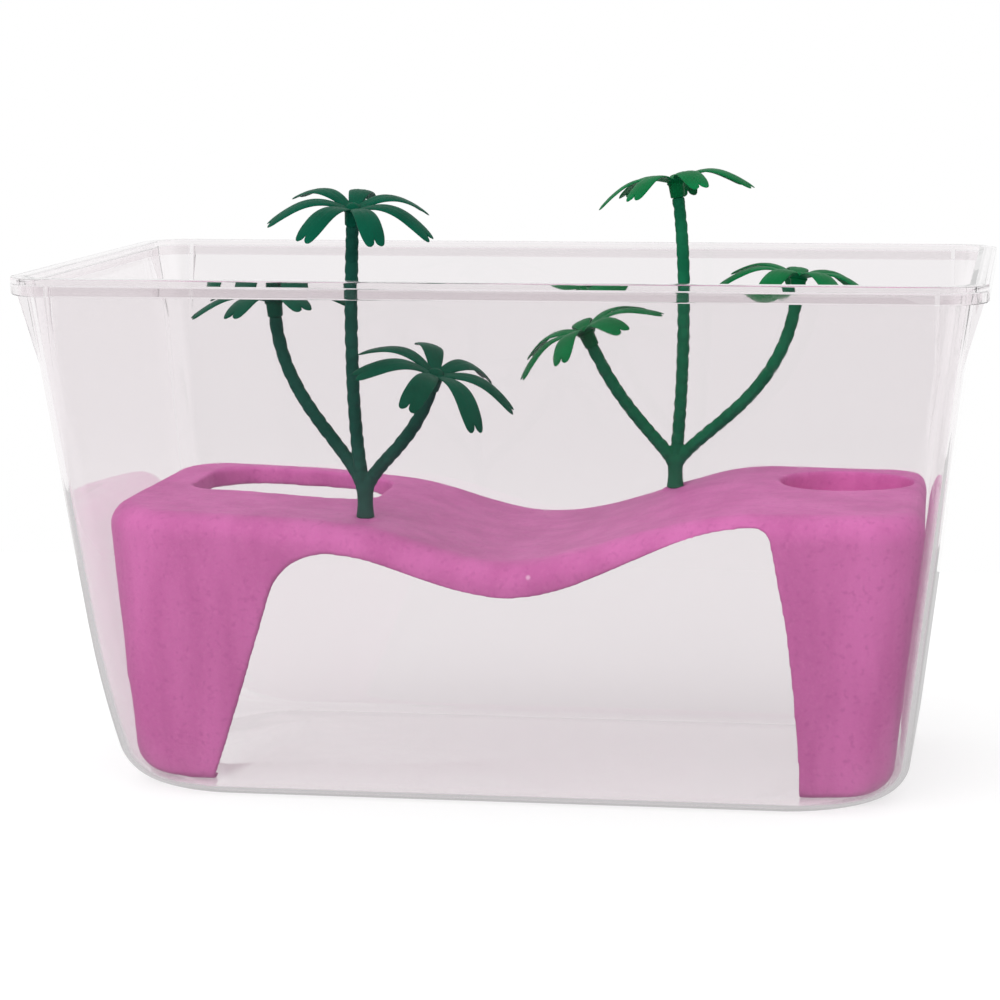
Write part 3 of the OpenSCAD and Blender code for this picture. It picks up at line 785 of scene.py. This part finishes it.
def unit(v):
    return v / np.linalg.norm(v)


def stem_path(stem):
    """The four control points of a stem's middle line."""
    end = np.array(stem[0], float)
    axis = lean_axis(stem[1], stem[2])
    start = np.array([0, 0, FORK - STEM_R])
    reach = math.hypot(end[0], end[1])
    away = unit(np.array([end[0], end[1], stem[4] * reach + 2 * STEM_R]))
    length = np.linalg.norm(end)
    pull = STEM_PULL * length + STEM_PULL_OUT * reach
    return [start, start + away * STEM_RISE * length, end - axis * pull, end]


def stem_tube(name, stem, foot, seed):
    """A stem with ringed bark, from inside the fork to its end."""
    path = stem_path(stem)
    axis = lean_axis(stem[1], stem[2])
    length = np.linalg.norm(stem[0])
    turns = round(length / BARK_PITCH)
    rings = RINGS_PER_TURN * turns
    skin = []
    for k in range(rings + 1):
        t = k / rings
        here = bezier(path, t)
        ahead = axis if k == rings else unit(bezier(path, t + STEM_AHEAD) - here)
        side = unit(np.cross([0, 1, 0], ahead))
        up = np.cross(ahead, side)
        phase = (t * turns) % 1
        ridge = math.sin(math.pi * phase) ** BARK_POWER
        swell = FORK_SWELL * math.exp(-t * length / FORK_FADE)
        ring = []
        for i in range(STEM_SIDES):
            a = 2 * math.pi * i / STEM_SIDES
            wobble = noise.noise(Vector((BARK_WOBBLE_ROUND * math.cos(a) + seed,
                                         BARK_WOBBLE_ROUND * math.sin(a),
                                         t * length / BARK_WOBBLE_ALONG)))
            notch = noise.noise(Vector((BARK_NOTCH_ROUND * math.cos(a),
                                        seed - BARK_NOTCH_ROUND * math.sin(a),
                                        t * length / BARK_NOTCH_ALONG)))
            r = STEM_R - BARK + BARK * ridge + swell + BARK_WOBBLE * wobble + BARK_NOTCH * notch
            ring.append(foot + here + r * (math.cos(a) * side + math.sin(a) * up))
        skin.append(ring)
    return loft(name, skin)


def frame_matrix(point, lean, side):
    """A part's own Z axis laid along a lean at a point, without turning about it."""
    turn = Matrix.Rotation(math.radians(side), 4, "Z")
    return (Matrix.Translation(Vector(point) * MM) @ turn
            @ Matrix.Rotation(math.radians(lean), 4, "Y") @ turn.inverted())


def make_trunk(name, foot, names):
    """A palm's peg, foot and fork with its ringed stems and their spigots, fused into one skin."""
    foot = np.array(foot) + (0, 0, SEAT_GAP)
    place = Matrix.Translation(Vector(foot) * MM)
    parts = [revolve("spine", SPINE, PALM_SIDES, place)]
    for k, key in enumerate(names):
        end, lean, side = STEMS[key][:3]
        parts.append(stem_tube("stem", STEMS[key], foot, seed=BARK_STEP * k + BARK_START))
        parts.append(revolve("spigot", SPIGOT, SPIGOT_SIDES, frame_matrix(foot + end, lean, side)))
    trunk = joined(name, parts)
    remesh(trunk, voxel=0.32, rounds=2, keep=0.45)
    return trunk


def make_leaf(droop):
    """One leaf along +X: an arched strap, widest near its end, which has two rounded lobes."""
    root = COLLAR_R / 2
    across = np.linspace(-LEAF_SIDE, LEAF_SIDE, LEAF_ACROSS)
    along = np.concatenate([np.linspace(0, LOBE_FROM, LEAF_ALONG), np.linspace(LOBE_FROM, 1, LOBE_ALONG)[1:]])

    def surface(t, c, below):
        half = LEAF_HALF * math.sin(math.radians(LEAF_ROOT_ANGLE + LEAF_ANGLE_RUN * t))
        off_lobe = abs(c) - 0.5
        lobes = (1 - math.sqrt(1 - 4 * off_lobe * off_lobe)) * (LOBE_OUTSIDE if off_lobe > 0 else LOBE_INSIDE)
        near_tip = max(0.0, (t - LOBE_FROM) / (1 - LOBE_FROM))
        out = t - NOTCH * lobes * near_tip ** LOBE_POWER / (REACH - root)
        x = root + (REACH - root) * out
        arch = LEAF_RISE * math.sin(math.pi * out) - droop * out * out
        fold = -abs(c) ** FOLD_POWER * (LEAF_FOLD * t - FOLD_UNDONE * near_tip)
        along_crease = math.sin(math.pi * min(1.0, t * CREASE_RUN))
        crease = -LEAF_CREASE * math.exp(-(c / CREASE_WIDTH) ** 2) * along_crease
        ribs = LEAF_RIB * math.cos(RIB_WAVES * math.pi * c) * (1 - abs(c)) * min(1.0, RIB_RISE * t)
        tip = max(THIN_LEAST, 1 - max(0.0, (t - THIN_FROM) / THIN_RUN) ** 2)
        thin = math.sqrt((1 - abs(c) ** SIDE_POWER) * tip)
        z = arch + fold + crease + ribs - LEAF_THICK / 2 - LEAF_THICK / 2 * (thin if below else -thin)
        return (x, c * half, z)

    rings = [[surface(t, c, True) for c in across] + [surface(t, c, False) for c in across[::-1]]
             for t in along]
    return loft("leaf", rings, strips=True)


def collar_profile():
    """Turned profile of a crown's collar: up its outside, over its dome and down its blind bore."""
    bore = SPIGOT_R + FIT_GAP + SPIGOT_SPARE
    deep = SPIGOT_LENGTH + SEAT_GAP + BLIND_SPARE
    dome_z = COLLAR_HEIGHT - LEAF_THICK - DOME_SUNK * COLLAR_R
    dome = arc((0, dome_z), DOME_WIDE * COLLAR_R, DOME_ANGLE, 90, DOME_STEPS)
    profile = [(bore, 0), (COLLAR_R - 0.5, 0), (COLLAR_R - 0.2, 0.4), (COLLAR_R, dome_z)] + dome[:-1]
    return profile + [(0.0, dome[-1][1]), (0.0, deep), (bore, deep)]


def make_crown(name, foot, stem):
    """Seven leaves on a domed collar, whose blind bore sits over the stem's spigot."""
    end, lean, side, turn, _, droop_share = stem
    seat = np.array(foot) + (0, 0, SEAT_GAP) + np.array(end) + SEAT_GAP * lean_axis(lean, side)
    lift = Matrix.Translation((0, 0, (COLLAR_HEIGHT - LEAF_THICK / 2) * MM))
    leaves = []
    for i in range(LEAVES):
        change = DROOP_CHANGE * math.sin(math.radians(DROOP_TURN * i))
        leaf = make_leaf(LEAF_DROOP * droop_share + change)
        leaf.data.transform(Matrix.Rotation(math.radians(turn + 360 * i / LEAVES), 4, "Z") @ lift)
        leaves.append(leaf)
    crown = revolve(name, collar_profile(), PALM_SIDES)
    combine(crown, leaves, "UNION")
    crown.data.transform(frame_matrix(seat, lean, side))
    crown.data.shade_smooth()
    crown.data.set_sharp_from_angle(angle=math.radians(CROWN_SHARP))
    return crown


# Materials

ISLAND_DARK = (0.620, 0.134, 0.408, 1)
ISLAND_LIGHT = (0.725, 0.176, 0.490, 1)
ISLAND_SPECK = (0.78, 0.23, 0.545, 1)
ISLAND_PIT = (0.52, 0.098, 0.335, 1)
# Colour of the painted highlight on the front of the dip
PAINTED_GLINT = (0.84, 0.48, 0.70, 1)
# Radii in metres between which the painted highlight fades
GLINT_INSIDE = 0.0007
GLINT_OUTSIDE = 0.0014
# Scale of the flow streaks along each axis: they are drawn out in height
STREAK_SCALE = (1.0, 1.0, 0.22)
TANK_TINT = (0.939, 0.912, 0.923, 1)
TANK_SHADOW = (0.96, 0.95, 0.955, 1)
# Rays that have bounced more often than this go straight through the tank
MOST_BOUNCES = 5.5
# Dark and light shade of each palm's bark and leaves
PALM_SHADES = {
    "left_palm_bark": ((0.006, 0.058, 0.041, 1), (0.010, 0.078, 0.055, 1)),
    "right_palm_bark": ((0.005, 0.108, 0.048, 1), (0.009, 0.142, 0.064, 1)),
    "left_palm_leaf": ((0.001, 0.060, 0.033, 1), (0.002, 0.082, 0.046, 1)),
    "right_palm_leaf": ((0.001, 0.108, 0.030, 1), (0.002, 0.150, 0.045, 1)),
}


class Shader:
    """The node tree of a material or a world, with short ways to add and join nodes."""

    def __init__(self, owner):
        owner.use_nodes = True
        self.owner = owner
        self.tree = owner.node_tree
        self.tree.nodes.clear()

    def add(self, kind, inputs=None, **settings):
        node = self.tree.nodes.new(kind)
        for key, value in settings.items():
            setattr(node, key, value)
        for key, value in (inputs or {}).items():
            if isinstance(value, bpy.types.NodeSocket):
                self.tree.links.new(value, node.inputs[key])
            else:
                node.inputs[key].default_value = value
        return node

    def noise(self, place, scale, detail=3.0, roughness=0.5):
        node = self.add("ShaderNodeTexNoise", {"Vector": place, "Scale": scale, "Detail": detail,
                                               "Roughness": roughness})
        return node.outputs["Fac"]

    def spread(self, value, low, high, to_low, to_high):
        node = self.add("ShaderNodeMapRange", {"Value": value, "From Min": low, "From Max": high,
                                               "To Min": to_low, "To Max": to_high})
        return node.outputs["Result"]

    def mix(self, share, first, second):
        node = self.add("ShaderNodeMix", data_type="RGBA")
        for socket, value in zip((node.inputs[0], node.inputs[6], node.inputs[7]), (share, first, second)):
            if isinstance(value, bpy.types.NodeSocket):
                self.tree.links.new(value, socket)
            else:
                socket.default_value = value
        return node.outputs[2]

    def finish(self, surface):
        self.add("ShaderNodeOutputMaterial", {"Surface": surface})
        return self.owner


def island_material():
    """Pink moulding: flow streaks down its sides, light specks, dark pits, a sandy grain and a small painted
    highlight on the dip's front.
    """
    s = Shader(bpy.data.materials.new("island_pink"))
    place = s.add("ShaderNodeTexCoord").outputs["Object"]
    drawn = s.add("ShaderNodeVectorMath", {0: place, 1: STREAK_SCALE}, operation="MULTIPLY")
    streak = s.noise(drawn.outputs["Vector"], scale=62.0)
    fine = s.noise(place, scale=620.0, detail=4.0, roughness=0.65)
    grain = s.noise(place, scale=1700.0, detail=2.0, roughness=0.6)
    pits = s.noise(place, scale=430.0, detail=2.0, roughness=0.5)
    sand = s.noise(place, scale=210.0, detail=3.0, roughness=0.55)
    off_glint = s.add("ShaderNodeVectorMath", {0: place, 1: Vector(GLINT_PLACE) * MM}, operation="DISTANCE")
    base = s.mix(s.spread(streak, 0.35, 0.65, 0, 1), ISLAND_DARK, ISLAND_LIGHT)
    base = s.mix(s.spread(fine, 0.52, 0.72, 0, 0.30), base, ISLAND_SPECK)
    base = s.mix(s.spread(pits, 0.56, 0.72, 0, 0.45), base, ISLAND_PIT)
    # Painted highlight: a pale glint painted into the colour at one spot on the dip's front
    on_glint = s.spread(off_glint.outputs["Value"], GLINT_INSIDE, GLINT_OUTSIDE, 1, 0)
    base = s.mix(on_glint, base, PAINTED_GLINT)
    bump = s.add("ShaderNodeBump", {"Strength": 0.40, "Distance": 0.0012, "Height": sand})
    bump = s.add("ShaderNodeBump", {"Strength": 0.35, "Distance": 0.0004, "Height": fine,
                                    "Normal": bump.outputs["Normal"]})
    bump = s.add("ShaderNodeBump", {"Strength": 0.30, "Distance": 0.0002, "Height": grain,
                                    "Normal": bump.outputs["Normal"]})
    skin = s.add("ShaderNodeBsdfPrincipled", {
        "Base Color": base, "Roughness": s.spread(fine, 0.3, 0.7, 0.46, 0.62),
        "Normal": bump.outputs["Normal"], "Specular IOR Level": 0.2})
    return s.finish(skin.outputs["BSDF"])


def palm_material(name):
    """Green plastic with soft blotches and a fine grain."""
    dark, light = PALM_SHADES[name]
    s = Shader(bpy.data.materials.new(name))
    place = s.add("ShaderNodeTexCoord").outputs["Object"]
    broad = s.noise(place, scale=90.0)
    fine = s.noise(place, scale=900.0, detail=3.0, roughness=0.6)
    base = s.mix(s.spread(broad, 0.3, 0.7, 0, 1), dark, light)
    bump = s.add("ShaderNodeBump", {"Strength": 0.25, "Distance": 0.0002, "Height": fine})
    skin = s.add("ShaderNodeBsdfPrincipled", {
        "Base Color": base, "Roughness": s.spread(fine, 0.3, 0.7, 0.34, 0.52),
        "Normal": bump.outputs["Normal"], "Specular IOR Level": 0.04})
    return s.finish(skin.outputs["BSDF"])


def tank_material():
    """Clear plastic, a little wavy and scuffed; shadow rays and long-bounced rays go straight through."""
    s = Shader(bpy.data.materials.new("tank_clear"))
    place = s.add("ShaderNodeTexCoord").outputs["Object"]
    wave = s.noise(place, scale=22.0, detail=2.0, roughness=0.45)
    scuff = s.noise(place, scale=240.0, detail=4.0, roughness=0.7)
    bump = s.add("ShaderNodeBump", {"Strength": 0.12, "Distance": 0.0006, "Height": wave})
    glass = s.add("ShaderNodeBsdfPrincipled", {
        "Base Color": TANK_TINT, "Roughness": s.spread(scuff, 0.45, 0.8, 0.015, 0.07),
        "IOR": 1.5, "Transmission Weight": 1.0, "Normal": bump.outputs["Normal"]})
    clear = s.add("ShaderNodeBsdfTransparent", {"Color": TANK_SHADOW})
    path = s.add("ShaderNodeLightPath")
    spent = s.add("ShaderNodeMath", {0: path.outputs["Ray Depth"], 1: MOST_BOUNCES}, operation="GREATER_THAN")
    straight = s.add("ShaderNodeMath", {0: path.outputs["Is Shadow Ray"], 1: spent.outputs[0]},
                     operation="MAXIMUM")
    both = s.add("ShaderNodeMixShader", {0: straight.outputs[0], 1: glass.outputs["BSDF"],
                                         2: clear.outputs["BSDF"]})
    return s.finish(both.outputs["Shader"])


# Stage, lights and camera

FLOOR_X = 550
FLOOR_Y = 465
FLOOR_Z = -0.3
FLOOR_PAINT = (0.36, 0.36, 0.36, 1)
# Glow of the floor where it is seen through the tank, and where it is seen at once
FLOOR_GLOW_THROUGH = 0.62
FLOOR_GLOW = 0.70
# Light from all round, and the dim side of the room that the walls mirror
AMBIENT = 0.75
ROOM_DIM = 0.12
# Range of a direction's Y over which the dim side ends, and of its Z over which the white above starts
DIM_SIDE = (-0.85, -0.4)
WHITE_ABOVE = (0.3, 0.7)
# Places in Y, in metres, between which the mirrored floor turns less dull, and its share behind them
DULL_FROM = -0.125
DULL_TO = -0.095
DULL_BEHIND = 0.7
# Place in Y, in metres, behind which the mirrored floor has its full level, and that level
LEVEL_FROM = -0.34
FULL_LEVEL = 0.5


def ray_kinds(s):
    """Shares of rays: seen ones have not been scattered, mirrored ones have been reflected on their way."""
    path = s.add("ShaderNodeLightPath")
    shadow = s.add("ShaderNodeMath", {0: 1.0, 1: path.outputs["Is Shadow Ray"]}, operation="SUBTRACT")
    first = s.add("ShaderNodeMath", {0: path.outputs["Diffuse Depth"], 1: 0.5}, operation="LESS_THAN")
    seen = s.add("ShaderNodeMath", {0: shadow.outputs[0], 1: first.outputs[0]}, operation="MULTIPLY")
    mirrored = s.add("ShaderNodeMath", {0: path.outputs["Glossy Depth"], 1: 0.5}, operation="GREATER_THAN")
    return seen.outputs[0], mirrored.outputs[0]


def make_floor():
    """A pale floor that keeps the shadow, glows to white where seen, and is duller where mirrored."""
    corners = [(-FLOOR_X, -FLOOR_Y), (FLOOR_X, -FLOOR_Y), (FLOOR_X, FLOOR_Y), (-FLOOR_X, FLOOR_Y)]
    floor = mesh_object("floor", [(x, y, FLOOR_Z) for x, y in corners], [(0, 1, 2, 3)])
    s = Shader(bpy.data.materials.new("floor_white"))
    seen, mirrored = ray_kinds(s)
    paint = s.add("ShaderNodeBsdfDiffuse", {"Color": FLOOR_PAINT})
    at_once = s.add("ShaderNodeLightPath").outputs["Is Camera Ray"]
    shown = s.add("ShaderNodeMix", {0: at_once, 2: FLOOR_GLOW_THROUGH, 3: FLOOR_GLOW})
    lift = s.add("ShaderNodeMath", {0: seen, 1: shown.outputs[0]}, operation="MULTIPLY")
    glow = s.add("ShaderNodeEmission", {"Strength": lift.outputs[0]})
    both = s.add("ShaderNodeAddShader", {0: paint.outputs["BSDF"], 1: glow.outputs["Emission"]})
    place = s.add("ShaderNodeSeparateXYZ", {0: s.add("ShaderNodeTexCoord").outputs["Object"]})
    front = s.spread(place.outputs["Y"], DULL_FROM, DULL_TO, 1.0, DULL_BEHIND)
    dull = s.add("ShaderNodeMath", {0: mirrored, 1: front}, operation="MULTIPLY")
    level = s.spread(place.outputs["Y"], -FLOOR_Y * MM, LEVEL_FROM, ROOM_DIM, FULL_LEVEL)
    shade = s.add("ShaderNodeEmission", {"Strength": level})
    part = s.add("ShaderNodeMixShader", {0: dull.outputs[0], 1: both.outputs["Shader"],
                                         2: shade.outputs["Emission"]})
    floor.data.materials.append(s.finish(part.outputs["Shader"]))


def make_world():
    """White behind the object, a soft even light on it, and a room to mirror that is dim on one side."""
    world = bpy.data.worlds.new("studio")
    bpy.context.scene.world = world
    s = Shader(world)
    seen, mirrored = ray_kinds(s)
    way = s.add("ShaderNodeSeparateXYZ", {0: s.add("ShaderNodeTexCoord").outputs["Generated"]})
    over = s.spread(way.outputs["Z"], *WHITE_ABOVE, 0.0, 1.0)
    round_about = s.spread(way.outputs["Y"], *DIM_SIDE, ROOM_DIM, 1.0)
    room = s.add("ShaderNodeMath", {0: over, 1: round_about}, operation="MAXIMUM").outputs[0]
    shown = s.add("ShaderNodeMix", {0: mirrored, 2: 1.0, 3: room}).outputs[0]
    level = s.add("ShaderNodeMix", {0: seen, 2: AMBIENT, 3: shown}).outputs[0]
    back = s.add("ShaderNodeBackground", {"Color": (1, 1, 1, 1), "Strength": level})
    s.add("ShaderNodeOutputWorld", {"Surface": back.outputs["Background"]})


def add_sun(name, azimuth, elevation, strength, spread):
    """A soft lamp that isn't mirrored, with its direction and its width in degrees."""
    lamp = bpy.data.lights.new(name, "SUN")
    lamp.energy = strength
    lamp.angle = math.radians(spread)
    lamp.cycles.use_multiple_importance_sampling = False
    obj = add_object(name, lamp)
    a = math.radians(azimuth)
    e = math.radians(elevation)
    towards = Vector((math.sin(a) * math.cos(e), -math.cos(a) * math.cos(e), math.sin(e)))
    obj.rotation_euler = towards.to_track_quat("Z", "Y").to_euler()
    obj.visible_glossy = False
    obj.visible_transmission = False


def make_camera():
    """The photo's viewing angle, with the small shift that its framing needs."""
    place = Vector((0.2079, -1.2717, 0.3116))
    yaw, pitch, roll = -0.152, -0.1359, -0.0044
    ahead = Vector((math.sin(yaw) * math.cos(pitch), math.cos(yaw) * math.cos(pitch), math.sin(pitch)))
    right = ahead.cross(Vector((0, 0, 1))).normalized()
    up = right.cross(ahead)
    right, up = math.cos(roll) * right + math.sin(roll) * up, math.cos(roll) * up - math.sin(roll) * right
    data = bpy.data.cameras.new("camera")
    data.sensor_width = 36
    data.lens = 112.9
    data.shift_x = -0.06
    data.shift_y = -0.06
    data.clip_start, data.clip_end = 0.01, 50
    cam = add_object("camera", data)
    turn = Matrix((right, up, -ahead)).transposed().to_4x4()
    cam.matrix_world = Matrix.Translation(place) @ turn
    bpy.context.scene.camera = cam


make_camera()
make_world()
make_floor()
add_sun("key", azimuth=-25, elevation=57, strength=0.75, spread=80)
add_sun("fill", azimuth=-18, elevation=12, strength=1.50, spread=90)
bpy.context.scene.view_settings.view_transform = "Standard"

# Pieces on their bodies

tank = make_tank()
tank.data.materials.append(tank_material())
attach(tank, "tank")
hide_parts("tank")

island = make_island()
island.data.materials.append(island_material())
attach(island, "island")
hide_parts("island")

for side in PALM_PLACES:
    foot = palm_foot(side)
    leaf = palm_material(side + "_palm_leaf")
    names = [key for key in STEMS if key.startswith(side)]
    trunk = make_trunk(side + "_trunk_stems", foot, names)
    trunk.data.materials.append(palm_material(side + "_palm_bark"))
    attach(trunk, side + "_palm")
    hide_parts(side + "_palm_trunk")
    for key in names:
        crown = make_crown(key + "_leaves", foot, STEMS[key])
        crown.data.materials.append(leaf)
        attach(crown, key + "_crown")
        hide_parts(key + "_crown")
